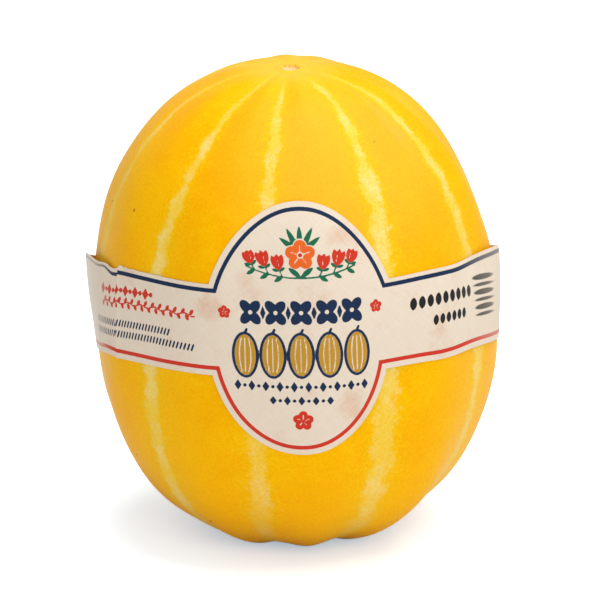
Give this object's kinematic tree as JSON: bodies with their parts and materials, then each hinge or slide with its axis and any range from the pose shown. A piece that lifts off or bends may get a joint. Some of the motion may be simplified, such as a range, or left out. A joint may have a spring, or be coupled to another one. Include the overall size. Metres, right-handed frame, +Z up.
{
  "type": "korean melon",
  "caption": "Yellow oval melon with pale seams, standing on its blossom end, with a paper label band and oval medallion round its middle.",
  "frame": {"origin": "on the resting plane, below the middle of the melon", "axes": "+Z up along the melon's long axis, -Y towards the label's medallion, +X to its right seen from the front"},
  "size_m": [0.0977, 0.0972, 0.112],
  "materials": {
    "melon_skin": "waxy satin rind",
    "label_paper": "matt fibrous paper"
  },
  "bodies": {
    "root": {"melon": "melon_skin", "label_band": "label_paper"}
  },
  "joints": []
}
